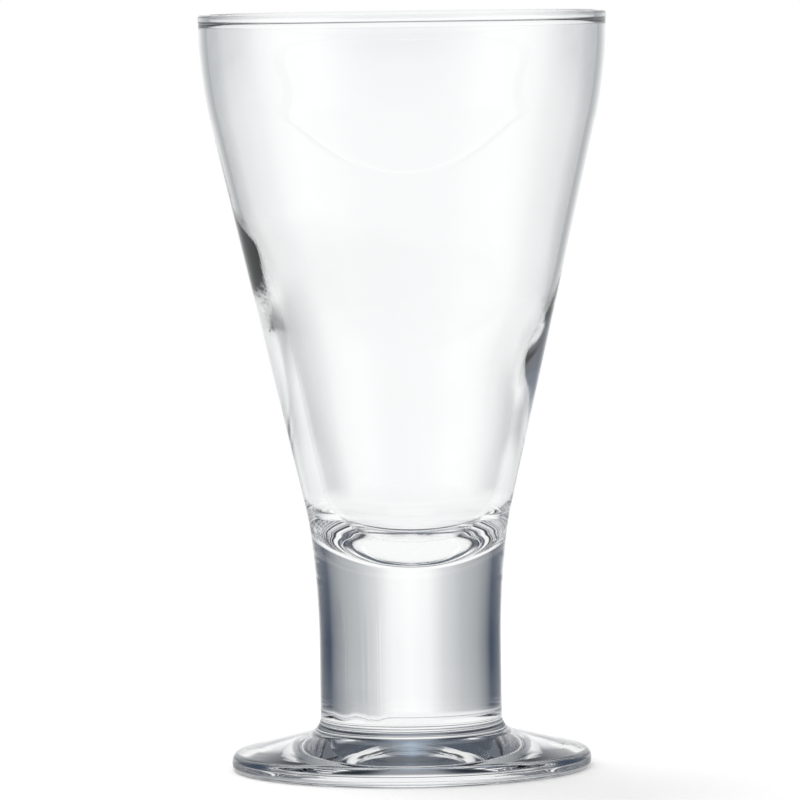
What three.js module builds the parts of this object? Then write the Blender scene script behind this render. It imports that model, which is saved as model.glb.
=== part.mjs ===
import * as THREE from 'three';

// A stemmed goblet of clear glass, in millimetres, standing on Z = 0 about the Z axis.
// It is three gathers of glass joined hot: a round foot, a thick solid stem and a tapering bowl.

// Foot
const footRadius = 38.1;
const footHeight = 11.4; // from the table to the joint with the stem
const footCrown = 8.3; // height at which the sloping top would meet the stem
const footFillet = 3.6; // between the sloping top and the stem
const edgeTop = 3.6; // height at which the sloping top would meet the edge
const edgeTopRound = 1.9;
const edgeBottomRound = 1.4;
const restWidth = 6.1; // the ring that touches the table, with the round of the edge
const hollowDepth = 0.3; // the slight hollow under the foot, inside that ring
const hollowSlope = 6; // width of the slope from the ring up into the hollow

// Stem
const stemRadius = 19.25;
const stemLength = 26.6; // from the foot joint to the bowl joint
const waistRound = 180; // the slow flare from the stem into the bowl

// Bowl
const bowlFloor = 5.3; // solid glass between the stem joint and the cavity
const cavityDepth = 116.7; // from the lowest point of the cavity to the top of the rim
const collarRise = 14.8; // from the stem joint to where flare and cone meet
const collarSpread = 1.85; // how far the flare has widened there
const collarRound = 60;
const shoulderDepth = 13.9; // from the rim to where cone and upright band meet
const shoulderRound = 83;
const rimRadius = 43;
const bandTaper = 0.35; // how much narrower the band is at the shoulder
const thinWall = 1.7; // wall from the rim down to where it starts to thicken
const thinDepth = 41; // from the rim to there
const thickWall = 3.9; // wall from the middle of the bowl down to the heel
const thickDepth = 74; // from the rim to the middle of the bowl
const swellRound = 60; // at both ends of the stretch in which the wall thickens
const heelRise = 12.4; // from the cavity's lowest point to where its side and floor would meet
const heelRound = 34;
const dishSpread = 7.6; // from the axis to where the floor would turn up
const dishRound = 16;
const lipDepth = 1.8; // the fire-polished bead round the rim
const lipProud = 0.1;
const lipBlend = 0.8;
const lipRound = 0.8;

// Fineness
const turns = 64; // flats round the goblet
const chordError = 0.03; // how far an arc's chords may stand off it
const fewestChords = 2;
const roundShare = 0.98; // of a side that its two rounds may use up

// Heights and radii that follow from the sizes above
const stemTop = footHeight + stemLength;
const cavityBottom = stemTop + bowlFloor;
const rimTop = cavityBottom + cavityDepth;
const collarRadius = stemRadius + collarSpread;
const collarHeight = stemTop + collarRise;
const shoulderRadius = rimRadius - bandTaper;
const shoulderHeight = rimTop - shoulderDepth;
const lipRadius = rimRadius + lipProud;
const heelHeight = cavityBottom + heelRise;
const restRadius = footRadius - restWidth;
const hollowRadius = restRadius - hollowSlope;

function corner(radius, height, round = 0) {
  return { at: new THREE.Vector2(radius, height), round };
}

// How far each corner's round reaches along its sides, cut down where two rounds share a short side.
function reachesOf(corners) {
  const wanted = corners.map(({ at, round }, i) => {
    if (round === 0) return 0;
    const before = corners[i - 1].at.clone().sub(at);
    const after = corners[i + 1].at.clone().sub(at);
    return round / Math.tan(before.angleTo(after) / 2);
  });
  const fits = corners.slice(1).map(({ at }, i) => {
    const room = roundShare * at.distanceTo(corners[i].at);
    return Math.min(1, room / Math.max(wanted[i] + wanted[i + 1], room));
  });
  return wanted.map((reach, i) => reach * Math.min(fits[i - 1] ?? 1, fits[i] ?? 1));
}

// The arc that touches both sides of a corner at the given reach.
function arcAt(before, at, after, reach) {
  const inward = before.clone().sub(at).normalize();
  const onward = after.clone().sub(at).normalize();
  const opening = inward.angleTo(onward);
  const radius = reach * Math.tan(opening / 2);
  const middle = inward.clone().add(onward).normalize();
  const centre = middle.multiplyScalar(radius / Math.sin(opening / 2)).add(at);
  const start = inward.multiplyScalar(reach).add(at);
  const end = onward.multiplyScalar(reach).add(at);
  const turn = Math.PI - opening;
  const side = Math.sign(start.clone().sub(centre).cross(end.sub(centre)));
  const chordTurn = 2 * Math.acos(1 - Math.min(chordError / radius, 1));
  const chords = Math.max(fewestChords, Math.ceil(turn / chordTurn));
  return Array.from({ length: chords + 1 }, (_, i) => (
    start.clone().rotateAround(centre, side * turn * i / chords)
  ));
}

function roundedOutline(corners) {
  const reaches = reachesOf(corners);
  return corners.flatMap(({ at }, i) => {
    if (reaches[i] === 0) return [at];
    return arcAt(corners[i - 1].at, at, corners[i + 1].at, reaches[i]);
  });
}

// An outline's parts below and above its first crossing of a height, each with the crossing point.
function splitAt(outline, height) {
  const next = outline.findIndex(({ y }) => y > height);
  const [below, above] = [outline[next - 1], outline[next]];
  const radius = THREE.MathUtils.mapLinear(height, below.y, above.y, below.x, above.x);
  const crossing = new THREE.Vector2(radius, height);
  return [
    [...outline.slice(0, next).filter(({ y }) => y < height), crossing],
    [crossing, ...outline.slice(next)],
  ];
}

function onAxis(height) {
  return new THREE.Vector2(0, height);
}

function turned(name, outline, colour) {
  const geometry = new THREE.LatheGeometry(outline, turns);
  geometry.rotateX(Math.PI / 2);
  const material = new THREE.MeshStandardMaterial({ color: colour, roughness: 0.03, metalness: 0 });
  const mesh = new THREE.Mesh(geometry, material);
  mesh.name = name;
  return mesh;
}

function makeFoot() {
  const outline = roundedOutline([
    corner(0, hollowDepth),
    corner(hollowRadius, hollowDepth),
    corner(restRadius, 0),
    corner(footRadius, 0, edgeBottomRound),
    corner(footRadius, edgeTop, edgeTopRound),
    corner(stemRadius, footCrown, footFillet),
    corner(stemRadius, footHeight),
    corner(0, footHeight),
  ]);
  return turned('foot', outline, 0xdfe6ea);
}

// The cone's outer radius at a height between the collar and the shoulder.
function coneRadiusAt(height) {
  return THREE.MathUtils.mapLinear(height, collarHeight, shoulderHeight, collarRadius, shoulderRadius);
}

// From the foot joint up the outside, over the rim and down to the bottom of the cavity.
function stemAndBowlOutline() {
  const thinHeight = rimTop - thinDepth;
  const thickHeight = rimTop - thickDepth;
  return roundedOutline([
    corner(stemRadius, footHeight),
    corner(stemRadius, stemTop, waistRound),
    corner(collarRadius, collarHeight, collarRound),
    corner(shoulderRadius, shoulderHeight, shoulderRound),
    corner(rimRadius, rimTop - lipDepth, lipBlend),
    corner(lipRadius, rimTop - lipDepth / 2, lipBlend),
    corner(lipRadius, rimTop, lipRound),
    corner(rimRadius - thinWall, rimTop, lipRound),
    corner(shoulderRadius - thinWall, shoulderHeight, shoulderRound),
    corner(coneRadiusAt(thinHeight) - thinWall, thinHeight, swellRound),
    corner(coneRadiusAt(thickHeight) - thickWall, thickHeight, swellRound),
    corner(coneRadiusAt(heelHeight) - thickWall, heelHeight, heelRound),
    corner(dishSpread, cavityBottom, dishRound),
    corner(0, cavityBottom),
  ]);
}

function makeStem(outside) {
  return turned('stem', [onAxis(footHeight), ...outside, onAxis(stemTop)], 0xe6eaec);
}

function makeBowl(outsideAndCavity) {
  return turned('bowl', [onAxis(stemTop), ...outsideAndCavity], 0xeef3f5);
}

const [stemOutline, bowlOutline] = splitAt(stemAndBowlOutline(), stemTop);
const goblet = new THREE.Group();
goblet.add(makeFoot(), makeStem(stemOutline), makeBowl(bowlOutline));

export default goblet;
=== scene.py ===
import math
import bmesh
import bpy
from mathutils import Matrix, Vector


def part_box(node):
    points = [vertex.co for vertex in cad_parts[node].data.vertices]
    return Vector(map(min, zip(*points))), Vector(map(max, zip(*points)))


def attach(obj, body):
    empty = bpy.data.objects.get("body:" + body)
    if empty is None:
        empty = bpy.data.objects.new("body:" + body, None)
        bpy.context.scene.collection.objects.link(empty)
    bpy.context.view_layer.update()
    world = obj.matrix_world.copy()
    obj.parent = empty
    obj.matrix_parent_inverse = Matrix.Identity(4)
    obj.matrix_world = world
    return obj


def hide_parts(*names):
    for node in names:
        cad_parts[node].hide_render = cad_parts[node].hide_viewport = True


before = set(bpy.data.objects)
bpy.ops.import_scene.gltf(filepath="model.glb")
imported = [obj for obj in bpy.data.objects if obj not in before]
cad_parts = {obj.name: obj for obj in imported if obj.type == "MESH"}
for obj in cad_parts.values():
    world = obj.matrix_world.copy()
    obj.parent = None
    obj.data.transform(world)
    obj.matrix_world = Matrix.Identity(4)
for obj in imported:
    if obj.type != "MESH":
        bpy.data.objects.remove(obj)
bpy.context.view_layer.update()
footLow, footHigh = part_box("foot")
stemLow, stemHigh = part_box("stem")
bowlLow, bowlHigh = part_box("bowl")

# All sizes are in metres. Every piece is an outline turned about the goblet's upright axis.
turning = dict(
    steps=192,           # flats round the goblet, fine enough for clean refraction
    weld=0.000001,
    jointSlack=0.00001,  # how close to a joint's height a face must lie to be its flat
    levelNormal=0.999,   # upright share of the normal from which a face counts as level
)


def drawOutline(bm, corners):
    # each corner is radius, height, radius of its round and the segments of that round
    verts = [bm.verts.new((radius, 0, height)) for radius, height, roundness, segments in corners]
    for before, after in zip(verts, verts[1:]):
        bm.edges.new((before, after))
    for vert, (radius, height, roundness, segments) in zip(verts, corners):
        if roundness == 0:
            continue
        first, second = [edge.other_vert(vert).co - vert.co for edge in vert.link_edges]
        reach = roundness / math.tan(first.angle(second) / 2)
        bmesh.ops.bevel(bm, geom=[vert], offset=reach, offset_type="OFFSET", affect="VERTICES",
                        segments=segments, profile=0.5, material=-1)


def turnPiece(name, corners, jointHeights, glass, joint, shape=None):
    bm = bmesh.new()
    drawOutline(bm, corners)
    bmesh.ops.spin(bm, geom=bm.verts[:] + bm.edges[:], cent=(0, 0, 0), axis=(0, 0, 1),
                   angle=2 * math.pi, steps=turning["steps"], use_merge=True)
    bmesh.ops.remove_doubles(bm, verts=bm.verts[:], dist=turning["weld"])
    bmesh.ops.recalc_face_normals(bm, faces=bm.faces[:])
    if shape:
        shape(bm)
    for face in bm.faces:
        face.smooth = True
        height = face.calc_center_median().z
        flat = abs(face.normal.z) > turning["levelNormal"]
        if flat and min(abs(height - z) for z in jointHeights) < turning["jointSlack"]:
            face.material_index = 1
    for edge in bm.edges:
        if len({face.material_index for face in edge.link_faces}) > 1:
            edge.smooth = False
    mesh = bpy.data.meshes.new(name)
    bm.to_mesh(mesh)
    bm.free()
    mesh.materials.append(glass)
    mesh.materials.append(joint)
    piece = bpy.data.objects.new(name, mesh)
    bpy.context.collection.objects.link(piece)
    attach(piece, "root")
    print(name, "turned,", len(mesh.polygons), "faces")
    return piece


def newMaterial(name):
    material = bpy.data.materials.new(name)
    material.use_nodes = True
    tree = material.node_tree
    tree.nodes.clear()
    return material, tree.nodes, tree.links


def mathNode(tree, operation, a, b=None, clamp=False):
    node = tree.nodes.new("ShaderNodeMath")
    node.operation = operation
    node.use_clamp = clamp
    for socket, value in zip(node.inputs, (a, b)):
        if value is None:
            continue
        if isinstance(value, (int, float)):
            socket.default_value = value
        else:
            tree.links.new(value, socket)
    return node.outputs[0]


def mixColour(tree, factor, a, b):
    node = tree.nodes.new("ShaderNodeMix")
    node.data_type = "RGBA"
    colours = [socket for socket in node.inputs if socket.type == "RGBA"]
    for socket, value in zip((node.inputs["Factor"], *colours), (factor, a, b)):
        if isinstance(value, (int, float, tuple)):
            socket.default_value = value
        else:
            tree.links.new(value, socket)
    return [socket for socket in node.outputs if socket.type == "RGBA"][0]


def spreadNode(tree, value, low, high):
    # 0 up to the low value, 1 from the high one
    node = tree.nodes.new("ShaderNodeMapRange")
    node.inputs["From Min"].default_value = low
    node.inputs["From Max"].default_value = high
    tree.links.new(value, node.inputs["Value"])
    return node.outputs["Result"]


def noiseNode(tree, scale, detail, stretch=(1, 1, 1)):
    # noise in the piece's own coordinates, drawn out along an axis whose stretch is below 1
    position = tree.nodes.new("ShaderNodeTexCoord").outputs["Object"]
    mapping = tree.nodes.new("ShaderNodeMapping")
    mapping.inputs["Scale"].default_value = stretch
    tree.links.new(position, mapping.inputs["Vector"])
    noise = tree.nodes.new("ShaderNodeTexNoise")
    noise.inputs["Scale"].default_value = scale
    noise.inputs["Detail"].default_value = detail
    tree.links.new(mapping.outputs["Vector"], noise.inputs["Vector"])
    return noise.outputs["Fac"]


def newGroup(name, output, kind):
    group = bpy.data.node_groups.new(name, "ShaderNodeTree")
    group.interface.new_socket(name=output, in_out="OUTPUT", socket_type=kind)
    return group, group.nodes.new("NodeGroupOutput")


def useGroup(tree, group):
    node = tree.nodes.new("ShaderNodeGroup")
    node.node_tree = group
    return node.outputs[0]


# How hot-worked glass departs from perfect, the same in all three pieces
melt = dict(
    waveScale=62,        # slow waves left by blowing and pressing
    waveDepth=0.000006,
    creaseScale=300,     # finer creases that run up the wall
    creaseShare=0.03,    # their height against the waves
    creaseStretch=0.12,
    lineScale=1100,      # lines drawn out along the stem, in clusters
    lineShare=75,
    lineStretch=0.004,
    clusterScale=160,
    clusterFrom=0.3,
    clusterTo=0.5,
    lineFade=0.007,      # over what height they die out at either end of the stem
    lineLeft=-0.0165,    # the side of the stem that was drawn rough
    lineRight=-0.0045,
    lineBack=-0.003,
    lineEdge=0.002,      # over what width that side begins and ends
    cordStretch=0.5,     # how drawn out the faint change of tint is
    cordCool=(0.98, 0.99, 0.988, 1),
    cordClear=(0.99, 0.992, 0.996, 1),
    glassBend=1.52,      # index of refraction
)
ripple, rippleOut = newGroup("meltRipple", "Height", "NodeSocketFloat")
waves = noiseNode(ripple, melt["waveScale"], 1)
creases = noiseNode(ripple, melt["creaseScale"], 2, (1, 1, melt["creaseStretch"]))
rippleHeight = mathNode(ripple, "ADD", waves, mathNode(ripple, "MULTIPLY", creases, melt["creaseShare"]))
ripple.links.new(rippleHeight, rippleOut.inputs["Height"])
tint, tintOut = newGroup("meltTint", "Color", "NodeSocketColor")
cords = noiseNode(tint, melt["waveScale"], 2, (1, 1, melt["cordStretch"]))
cordTint = mixColour(tint, cords, melt["cordCool"], melt["cordClear"])
tint.links.new(cordTint, tintOut.inputs["Color"])


def clearGlass(name, extraHeight=None):
    material, nodes, links = newMaterial(name)
    tree = material.node_tree
    shader = nodes.new("ShaderNodeBsdfPrincipled")
    shader.inputs["Roughness"].default_value = 0
    shader.inputs["IOR"].default_value = melt["glassBend"]
    shader.inputs["Transmission Weight"].default_value = 1
    links.new(useGroup(tree, tint), shader.inputs["Base Color"])
    height = useGroup(tree, ripple)
    if extraHeight:
        height = mathNode(tree, "ADD", height, extraHeight(tree))
    bump = nodes.new("ShaderNodeBump")
    bump.inputs["Distance"].default_value = melt["waveDepth"]
    links.new(height, bump.inputs["Height"])
    links.new(bump.outputs["Normal"], shader.inputs["Normal"])
    output = nodes.new("ShaderNodeOutputMaterial")
    links.new(shader.outputs["BSDF"], output.inputs["Surface"])
    return material


def drawnLines(tree):
    along = (1, 1, melt["lineStretch"])
    lines = mathNode(tree, "MULTIPLY", noiseNode(tree, melt["lineScale"], 2, along), melt["lineShare"])
    clusters = noiseNode(tree, melt["clusterScale"], 0, along)
    split = tree.nodes.new("ShaderNodeSeparateXYZ")
    tree.links.new(tree.nodes.new("ShaderNodeTexCoord").outputs["Object"], split.inputs[0])
    side, depth, height = split.outputs
    masks = [
        spreadNode(tree, height, stemLow.z, stemLow.z + melt["lineFade"]),
        spreadNode(tree, height, stemHigh.z, stemHigh.z - melt["lineFade"]),
        spreadNode(tree, side, melt["lineLeft"], melt["lineLeft"] + melt["lineEdge"]),
        spreadNode(tree, side, melt["lineRight"], melt["lineRight"] - melt["lineEdge"]),
        spreadNode(tree, depth, melt["lineBack"], melt["lineBack"] - melt["lineEdge"]),
        spreadNode(tree, clusters, melt["clusterFrom"], melt["clusterTo"]),
    ]
    for mask in masks:
        lines = mathNode(tree, "MULTIPLY", lines, mask)
    return lines


def fusedJoint(name):
    # where two gathers are one glass, light meets no surface
    material, nodes, links = newMaterial(name)
    shader = nodes.new("ShaderNodeBsdfPrincipled")
    shader.inputs["Base Color"].default_value = (1, 1, 1, 1)
    shader.inputs["Alpha"].default_value = 0
    output = nodes.new("ShaderNodeOutputMaterial")
    links.new(shader.outputs["BSDF"], output.inputs["Surface"])
    return material


jointGlass = fusedJoint("fusedJoint")

# Foot
foot = dict(
    crown=0.0083,         # height at which the sloping top would meet the stem
    fillet=0.0036,
    edgeTop=0.0036,
    edgeTopRound=0.0019,
    edgeBottomRound=0.0014,
    restInner=0.032,      # the table is touched from here to the edge
    hollowRadius=0.026,
    hollowDepth=0.0003,   # the underside inside the rest is all but flat
    hollowRound=0.2,
    # segments of each round, from the middle of the underside out and up to the stem
    hollowSteps=12,
    restSteps=8,
    edgeBottomSteps=12,
    edgeTopSteps=16,
    filletSteps=24,
)
stem = dict(radius=0.01925, flareSteps=36)
footRadius, footTop = footHigh.x, footHigh.z
stemRadius = stem["radius"]
footCorners = [
    (0, foot["hollowDepth"], 0, 0),
    (foot["hollowRadius"], foot["hollowDepth"], foot["hollowRound"], foot["hollowSteps"]),
    (foot["restInner"], 0, foot["hollowRound"], foot["restSteps"]),
    (footRadius, 0, foot["edgeBottomRound"], foot["edgeBottomSteps"]),
    (footRadius, foot["edgeTop"], foot["edgeTopRound"], foot["edgeTopSteps"]),
    (stemRadius, foot["crown"], foot["fillet"], foot["filletSteps"]),
    (stemRadius, footTop, 0, 0),
    (0, footTop, 0, 0),
]
footPiece = turnPiece("footGlass", footCorners, [footTop], clearGlass("footGlass"), jointGlass)
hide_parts("foot")

# Stem and bowl share one outer side, so that they meet flush.
bowl = dict(
    waistRound=0.18,
    collarRise=0.0148,
    collarSpread=0.00185,
    collarRound=0.06,
    shoulderDepth=0.0139,
    shoulderRound=0.083,
    bandTaper=0.00035,
    floor=0.0053,
    cavityRound=0.016,
    dishSpread=0.0100,    # where the dished floor would turn up towards the heel
    heelRise=0.0115,      # from the lowest point of the hollow to where floor and wall meet
    heelRound=0.024,
    heelClear=0.0052,     # height above the heel's corner that its round needs
    lipDepth=0.0018,      # the fire-polished bead, its underside on the outer face
    lipUnder=0.0009,      # height of that underside
    lipProud=0.0001,
    lipBlend=0.0004,
    lipRound=0.0008,
    lipInward=0.0005,     # how far the bead stands into the hollow
    lipInnerDepth=0.0013,
    lipInnerUnder=0.0006,
    lipInnerBlend=0.0003,
    ringStep=0.001,       # between rings of the hollow's wall
    # segments of each round, up the outside, over the rim and down the hollow
    collarSteps=16,
    shoulderSteps=48,
    lipBlendSteps=8,
    lipSteps=12,
    lipInnerSteps=6,
    heelSteps=16,
    dishSteps=32,
    # wall at a height, thin in the band and thickest halfway down
    wall=[(0.160, 0.0017), (0.116, 0.0017), (0.0985, 0.00295), (0.093, 0.0032), (0.084, 0.00375),
          (0.080, 0.00385), (0.069, 0.0037), (0.056, 0.0039), (0.043, 0.0040)],
    # how far the hollow wanders to the right at a height, as in glass that is blown and pressed hot
    drift=[(0.160, 0), (0.116, 0), (0.0985, 0.00115), (0.093, 0.0009), (0.084, 0.00035),
           (0.080, 0.00025), (0.069, 0.0004), (0.056, 0.0004), (0.043, 0.0006)],
    # and how far to the front
    lean=[(0.160, 0), (0.106, 0), (0.100, 0.0005), (0.093, 0.001), (0.086, 0.001),
          (0.074, 0.0003), (0.066, 0), (0.043, 0)],
    easing=0.003,         # over what height either way a bend in these three is smoothed
    easingSteps=4,        # samples on either side
    hollowEdge=3,         # a vert further in than the thinnest wall over this is the hollow's
    hollowClear=0.00001,  # how far below the hollow's lowest point its verts may lie
)
stemTop, rimTop = stemHigh.z, bowlHigh.z
lipRadius = bowlHigh.x
rimRadius = lipRadius - bowl["lipProud"]
waistTurn = math.atan(bowl["collarSpread"] / bowl["collarRise"])
waistReach = bowl["waistRound"] * math.tan(waistTurn / 2)
waistEnd = stemTop + waistReach * math.cos(waistTurn)


def waistArc(count, low, high):
    # points on the slow flare, which is a circle that leaves the stem upright
    start, radius = stemTop - waistReach, bowl["waistRound"]
    points = []
    for i in range(count + 1):
        height = low + (high - low) * i / count
        rise = max(0, height - start) / radius
        points.append((stemRadius + radius * (1 - math.sqrt(1 - rise * rise)), height, 0, 0))
    return points


def lookUp(table, height):
    # straight lines between the points of a table that runs downwards
    for (upper, first), (lower, second) in zip(table, table[1:]):
        if height >= lower:
            return first + (second - first) * min(1, max(0, (upper - height) / (upper - lower)))
    return table[-1][1]


def eased(table, height):
    steps = bowl["easingSteps"]
    spread = [bowl["easing"] * i / steps for i in range(-steps, steps + 1)]
    return sum(lookUp(table, height + offset) for offset in spread) / len(spread)


stemCorners = [
    (0, footTop, 0, 0),
    (stemRadius, footTop, 0, 0),
    *waistArc(stem["flareSteps"], stemTop - waistReach, stemTop),
    (0, stemTop, 0, 0),
]
stemGlass = clearGlass("stemGlass", drawnLines)
stemPiece = turnPiece("stemGlass", stemCorners, [footTop, stemTop], stemGlass, jointGlass)
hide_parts("stem")

collarRadius, collarHeight = stemRadius + bowl["collarSpread"], stemTop + bowl["collarRise"]
shoulderRadius, shoulderHeight = rimRadius - bowl["bandTaper"], rimTop - bowl["shoulderDepth"]
cavityBottom = stemTop + bowl["floor"]
heelHeight = cavityBottom + bowl["heelRise"]
lipBottom = rimTop - bowl["lipDepth"]
outsideCorners = [
    *waistArc(stem["flareSteps"], stemTop, waistEnd),
    (collarRadius, collarHeight, bowl["collarRound"], bowl["collarSteps"]),
    (shoulderRadius, shoulderHeight, bowl["shoulderRound"], bowl["shoulderSteps"]),
    (rimRadius, lipBottom, bowl["lipBlend"], bowl["lipBlendSteps"]),
    (lipRadius, lipBottom + bowl["lipUnder"], bowl["lipBlend"], bowl["lipBlendSteps"]),
]


def outsideTable(corners):
    bm = bmesh.new()
    drawOutline(bm, corners)
    table = sorted(((vert.co.z, vert.co.x) for vert in bm.verts), reverse=True)
    bm.free()
    return table


outside = outsideTable([*outsideCorners, (lipRadius, rimTop, 0, 0)])
lipInner = rimRadius - bowl["wall"][0][1] - bowl["lipInward"]
lowRing = heelHeight + bowl["heelClear"]
highRing = rimTop - bowl["lipInnerDepth"] - bowl["lipInnerUnder"]
ringCount = round((highRing - lowRing) / bowl["ringStep"])
ringHeights = [highRing + (lowRing - highRing) * i / ringCount for i in range(ringCount + 1)]
insideRings = [(lookUp(outside, z) - eased(bowl["wall"], z), z, 0, 0) for z in ringHeights]
heelRadius = lookUp(outside, heelHeight) - eased(bowl["wall"], heelHeight)
bowlCorners = [
    (0, stemTop, 0, 0),
    *outsideCorners,
    (lipRadius, rimTop, bowl["lipRound"], bowl["lipSteps"]),
    (lipInner, rimTop, bowl["lipRound"], bowl["lipSteps"]),
    (lipInner, rimTop - bowl["lipInnerDepth"], bowl["lipInnerBlend"], bowl["lipInnerSteps"]),
    *insideRings,
    (heelRadius, heelHeight, bowl["heelRound"], bowl["heelSteps"]),
    (bowl["dishSpread"], cavityBottom, bowl["cavityRound"], bowl["dishSteps"]),
    (0, cavityBottom, 0, 0),
]


def driftHollow(bm):
    # the hollow's verts are those that lie clear inside the outside wall
    levels = {}
    for vert in bm.verts:
        level = round(vert.co.z, 6)
        if level not in levels:
            clear = lookUp(outside, level) - bowl["wall"][0][1] / bowl["hollowEdge"]
            levels[level] = clear, eased(bowl["drift"], level), eased(bowl["lean"], level)
        clear, drift, lean = levels[level]
        if level > cavityBottom - bowl["hollowClear"] and vert.co.xy.length < clear:
            vert.co.x += drift
            vert.co.y -= lean


bowlPiece = turnPiece("bowlGlass", bowlCorners, [stemTop], clearGlass("bowlGlass"), jointGlass, driftHollow)
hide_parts("bowl")

# Camera at the photograph's height and distance
view = dict(distance=1.48, height=0.174, aimAside=-0.00147, aimHeight=0.0781, lens=315.5, roll=-0.8)
cameraData = bpy.data.cameras.new("camera")
cameraData.lens = view["lens"]
camera = bpy.data.objects.new("camera", cameraData)
bpy.context.collection.objects.link(camera)
camera.location = (0, -view["distance"], view["height"])
aim = Vector((view["aimAside"], 0, view["aimHeight"])) - camera.location
camera.rotation_euler = aim.to_track_quat("-Z", "Y").to_euler()
camera.rotation_euler.rotate_axis("Z", math.radians(view["roll"]))
bpy.context.scene.camera = camera


def rampNode(tree, value, stops, interpolation="LINEAR"):
    node = tree.nodes.new("ShaderNodeValToRGB")
    node.color_ramp.interpolation = interpolation
    elements = node.color_ramp.elements
    for i, (position, colour) in enumerate(stops):
        stop = elements[i] if i < 2 else elements.new(position)
        stop.position = position
        stop.color = (*colour, 1) if isinstance(colour, tuple) else (colour, colour, colour, 1)
    tree.links.new(value, node.inputs["Fac"])
    return node.outputs["Color"]


def seenThroughGlass(tree):
    path = tree.nodes.new("ShaderNodeLightPath")
    return mathNode(tree, "MAXIMUM", path.outputs["Is Glossy Ray"], path.outputs["Is Transmission Ray"]), path


# Studio that the glass shows: a bright backdrop that falls off sideways, dark flags and a soft lamp overhead
world = bpy.data.worlds.new("studio")
world.use_nodes = True
tree = world.node_tree
tree.nodes.clear()
direction = tree.nodes.new("ShaderNodeTexCoord").outputs["Generated"]
split = tree.nodes.new("ShaderNodeSeparateXYZ")
tree.links.new(direction, split.inputs[0])
x, y, z = split.outputs
azimuth = mathNode(tree, "DIVIDE", mathNode(tree, "ABSOLUTE", mathNode(tree, "ARCTAN2", x, y)), math.pi)
elevation = mathNode(tree, "DIVIDE", mathNode(tree, "ABSOLUTE", mathNode(tree, "ARCSINE", z)), math.pi / 2)
sides = rampNode(tree, azimuth, [
    (0 / 180, (1.05, 1.05, 1.05)),
    (8 / 180, (0.98, 0.985, 0.985)),
    (15 / 180, (0.7, 0.715, 0.72)),
    (25 / 180, (0.48, 0.495, 0.505)),
    (35 / 180, (0.38, 0.395, 0.41)),
    (44 / 180, (0.25, 0.27, 0.29)),
    (52 / 180, (0.055, 0.073, 0.11)),
    (74 / 180, (0.03, 0.042, 0.068)),
    (86 / 180, (0.6, 0.61, 0.63)),
    (104 / 180, (1.0, 1.0, 1.0)),
    (130 / 180, (0.92, 0.92, 0.93)),
    (150 / 180, (0.33, 0.36, 0.41)),
    (165 / 180, (0.1, 0.13, 0.18)),
    (180 / 180, (0.07, 0.1, 0.15)),
])
overhead = rampNode(tree, azimuth, [
    (0, (0.3, 0.39, 0.5)), (12 / 180, (0.22, 0.28, 0.36)), (28 / 180, (0.1, 0.12, 0.15)),
    (1, (0.1, 0.12, 0.15)),
])
lowCeiling = rampNode(tree, azimuth, [
    (0, (0.34, 0.35, 0.37)), (10 / 180, (0.3, 0.31, 0.33)), (18 / 180, (0.08, 0.085, 0.1)),
    (24 / 180, (0.02, 0.025, 0.035)), (60 / 180, (0.02, 0.025, 0.035)),
    (90 / 180, (0.1, 0.11, 0.13)), (1, (0.1, 0.11, 0.13)),
])
above = rampNode(tree, elevation, [
    (0, 1.0), (19 / 90, 1.0), (27 / 90, 0.0), (1, 0.0),
])
high = rampNode(tree, elevation, [
    (0, 0.0), (44 / 90, 0.0), (52 / 90, 1.0), (1, 1.0),
])
ceiling = mixColour(tree, high, lowCeiling, overhead)
studio = mixColour(tree, above, ceiling, sides)
throughGlass, path = seenThroughGlass(tree)
onFloor = mathNode(tree, "LESS_THAN", path.outputs["Diffuse Depth"], 0.5)
plain = mixColour(tree, mathNode(tree, "MULTIPLY", throughGlass, onFloor), (1, 1, 1, 1), studio)
background = tree.nodes.new("ShaderNodeBackground")
tree.links.new(plain, background.inputs["Color"])
worldOutput = tree.nodes.new("ShaderNodeOutputWorld")
tree.links.new(background.outputs[0], worldOutput.inputs["Surface"])
bpy.context.scene.world = world
print("studio made")

# Floor: plain to the camera; for the glass it glows as a pale table with painted shade beside the foot and
# towards the sides, and a painted contact shadow, a darker strip, under the foot's edge
floorSizes = dict(
    radius=8.0,
    paint=(0.95, 0.95, 0.95, 1),
    fadeFrom=0.12,       # from here to the next the floor turns from lit paint into even white
    fadeTo=0.4,
    sidesFrom=0.28,      # painted shade: the table, seen through the glass, darkens towards the sides from here out
    sidesTo=0.5,
    besideFrom=0.0385,   # painted shade on the table on both sides of the foot, which only the glass sees
    besideTo=0.041,
    outFrom=0.06,
    outTo=0.075,
    contactShadowSpan=0.042,      # reach that the painted contact shadow's ramp is measured against
    # colour of the painted contact shadow under the foot's edge
    contactShadowColour=(0.02, 0.025, 0.03, 1),
)
bm = bmesh.new()
bmesh.ops.create_circle(bm, cap_ends=True, segments=96, radius=floorSizes["radius"])
floorMesh = bpy.data.meshes.new("floor")
bm.to_mesh(floorMesh)
bm.free()
floor = bpy.data.objects.new("floor", floorMesh)
bpy.context.collection.objects.link(floor)
material, nodes, links = newMaterial("floor")
tree = material.node_tree
diffuse = nodes.new("ShaderNodeBsdfDiffuse")
diffuse.inputs["Color"].default_value = floorSizes["paint"]
glow = nodes.new("ShaderNodeEmission")
mirror = nodes.new("ShaderNodeBsdfGlossy")
mirror.inputs["Roughness"].default_value = 0
mirror.inputs["Color"].default_value = (1, 1, 1, 1)
position = nodes.new("ShaderNodeTexCoord").outputs["Object"]
distance = nodes.new("ShaderNodeVectorMath")
distance.operation = "LENGTH"
links.new(position, distance.inputs[0])
reach = distance.outputs["Value"]
pale = nodes.new("ShaderNodeMixShader")
splitFloor = nodes.new("ShaderNodeSeparateXYZ")
links.new(position, splitFloor.inputs[0])
floorX, floorY = splitFloor.outputs[:2]
turn = mathNode(tree, "DIVIDE", mathNode(tree, "ABSOLUTE", mathNode(tree, "ARCTAN2", floorX, floorY)), math.pi)
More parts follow.
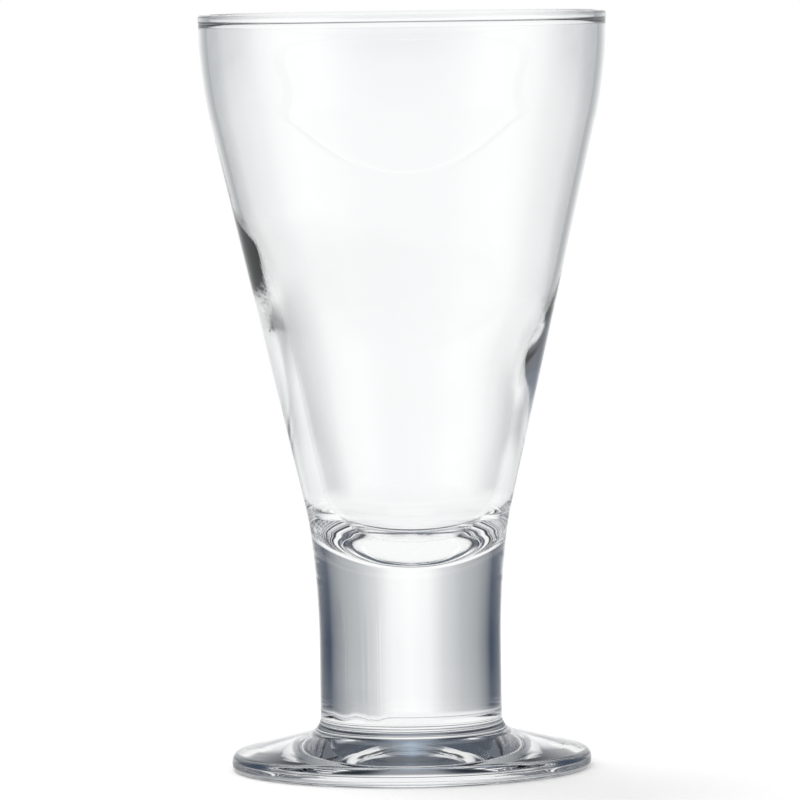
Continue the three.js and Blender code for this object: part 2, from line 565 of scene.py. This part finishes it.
# painted shade on the far table, lightest straight behind the goblet and darker off to the sides
paintedSideFalloff = rampNode(tree, turn, [
    (0 / 180, 1.0), (10 / 180, 0.95), (18 / 180, 0.7), (26 / 180, 0.4), (36 / 180, 0.45),
    (50 / 180, 0.6), (70 / 180, 0.78), (100 / 180, 0.88), (1, 0.85),
])
# painted shade beside the foot, darkest to its left and right
paintedSideShade = rampNode(tree, turn, [
    (0, 1.0), (60 / 180, 1.0), (75 / 180, 0.1), (140 / 180, 0.1),
    (155 / 180, 0.95), (1, 1.0),
])
besideIn = spreadNode(tree, reach, floorSizes["besideFrom"], floorSizes["besideTo"])
besideOut = spreadNode(tree, reach, floorSizes["outTo"], floorSizes["outFrom"])
beside = mathNode(tree, "MULTIPLY", besideIn, besideOut)
near = mixColour(tree, beside, (1, 1, 1, 1), paintedSideShade)
# painted contact shadow: a dark ring on the table under the foot's edge, which only the glass sees
paintedContactShadow = rampNode(tree, mathNode(tree, "DIVIDE", reach, floorSizes["contactShadowSpan"]), [
    (0, 0.0), (0.74, 0.0), (0.79, 1.0), (0.875, 1.0), (0.915, 0.0), (1, 0.0),
])
near = mixColour(tree, paintedContactShadow, near, floorSizes["contactShadowColour"])
far = spreadNode(tree, reach, floorSizes["sidesFrom"], floorSizes["sidesTo"])
# the table that the glass sees glows, its colour holding the painted shades and the painted contact shadow
paintedTableGlow = nodes.new("ShaderNodeEmission")
links.new(mixColour(tree, far, near, paintedSideFalloff), paintedTableGlow.inputs["Color"])
links.new(spreadNode(tree, reach, floorSizes["fadeFrom"], floorSizes["fadeTo"]), pale.inputs[0])
links.new(diffuse.outputs[0], pale.inputs[1])
links.new(glow.outputs[0], pale.inputs[2])
facing = nodes.new("ShaderNodeLayerWeight")
facing.inputs["Blend"].default_value = 0.5
grazing = rampNode(tree, facing.outputs["Facing"], [
    (0, 0.0), (0.6, 0.0), (0.7, 0.1), (0.8, 0.35), (0.87, 0.75), (0.9, 1.0),
])
sheen = nodes.new("ShaderNodeMixShader")
links.new(grazing, sheen.inputs[0])
links.new(paintedTableGlow.outputs[0], sheen.inputs[1])
links.new(mirror.outputs[0], sheen.inputs[2])
throughGlass, path = seenThroughGlass(tree)
surface = nodes.new("ShaderNodeMixShader")
links.new(throughGlass, surface.inputs[0])
links.new(pale.outputs[0], surface.inputs[1])
links.new(sheen.outputs[0], surface.inputs[2])
output = nodes.new("ShaderNodeOutputMaterial")
links.new(surface.outputs[0], output.inputs["Surface"])
floorMesh.materials.append(material)
print("floor made")

# A large soft lamp overhead, which glass doesn't show
softLamp = dict(size=0.6, energy=4, place=(-0.25, 0.35, 1.1))
lampData = bpy.data.lights.new("softLamp", "AREA")
lampData.shape = "DISK"
lampData.size = softLamp["size"]
lampData.energy = softLamp["energy"]
lamp = bpy.data.objects.new("softLamp", lampData)
lamp.location = softLamp["place"]
lamp.rotation_euler = (-lamp.location).to_track_quat("-Z", "Y").to_euler()
lamp.visible_glossy = False
lamp.visible_transmission = False
bpy.context.collection.objects.link(lamp)

scene = bpy.context.scene
scene.view_settings.view_transform = "Standard"
bounces = dict(total=32, transmission=32, glossy=24, transparent=32)  # enough for glass in glass
scene.cycles.max_bounces = bounces["total"]
scene.cycles.transmission_bounces = bounces["transmission"]
scene.cycles.glossy_bounces = bounces["glossy"]
scene.cycles.transparent_max_bounces = bounces["transparent"]
